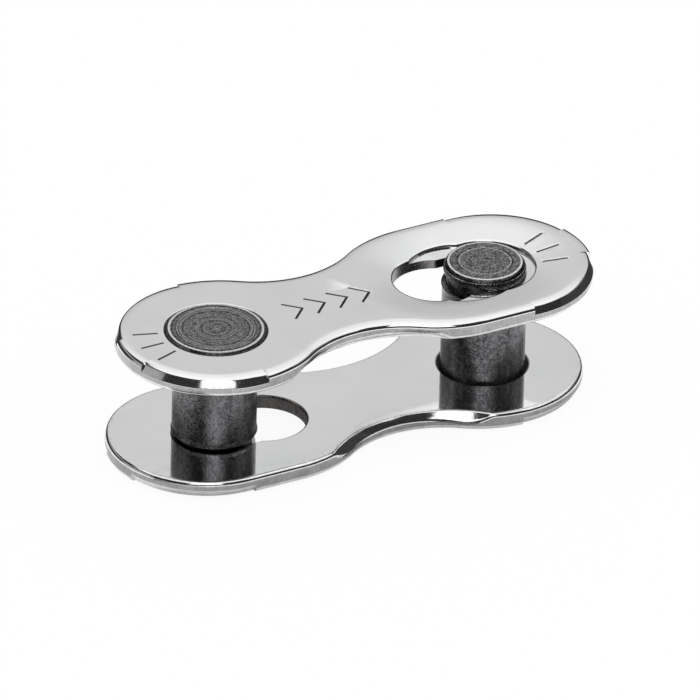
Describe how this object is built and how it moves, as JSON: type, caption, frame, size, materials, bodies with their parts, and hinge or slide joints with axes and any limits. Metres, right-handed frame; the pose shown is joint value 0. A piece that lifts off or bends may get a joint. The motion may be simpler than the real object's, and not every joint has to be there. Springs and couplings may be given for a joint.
{
  "type": "chain connecting link",
  "caption": "Closed two-part connecting link for a narrow bicycle chain; its pins lock in keyhole slots of the opposite plates and slide inwards to open.",
  "frame": {"origin": "centre of the closed link: midway between the two pin axes and midway between the plates", "axes": "+X along the chain, from the upper plate's riveted end to its keyhole end; +Z across the chain, along both pins, from the lower plate to the upper plate; +Y completes the right-handed frame, across the plates' width"},
  "size_m": [0.022, 0.0084, 0.0058],
  "materials": {
    "plate": "polished nickel plating on stamped steel, sheared edges slightly grainy",
    "pin": "dark hardened steel, turned faces with fine rings"
  },
  "bodies": {
    "lower_half": {"lower_plate": "plate", "lower_pin": "pin"},
    "upper_half": {"upper_plate": "plate", "upper_pin": "pin"}
  },
  "joints": [
    {"name": "half_slide", "type": "slide", "parent": "lower_half", "child": "upper_half", "axis": [1, 0, 0], "range_m": [0, 0.00233]}
  ]
}
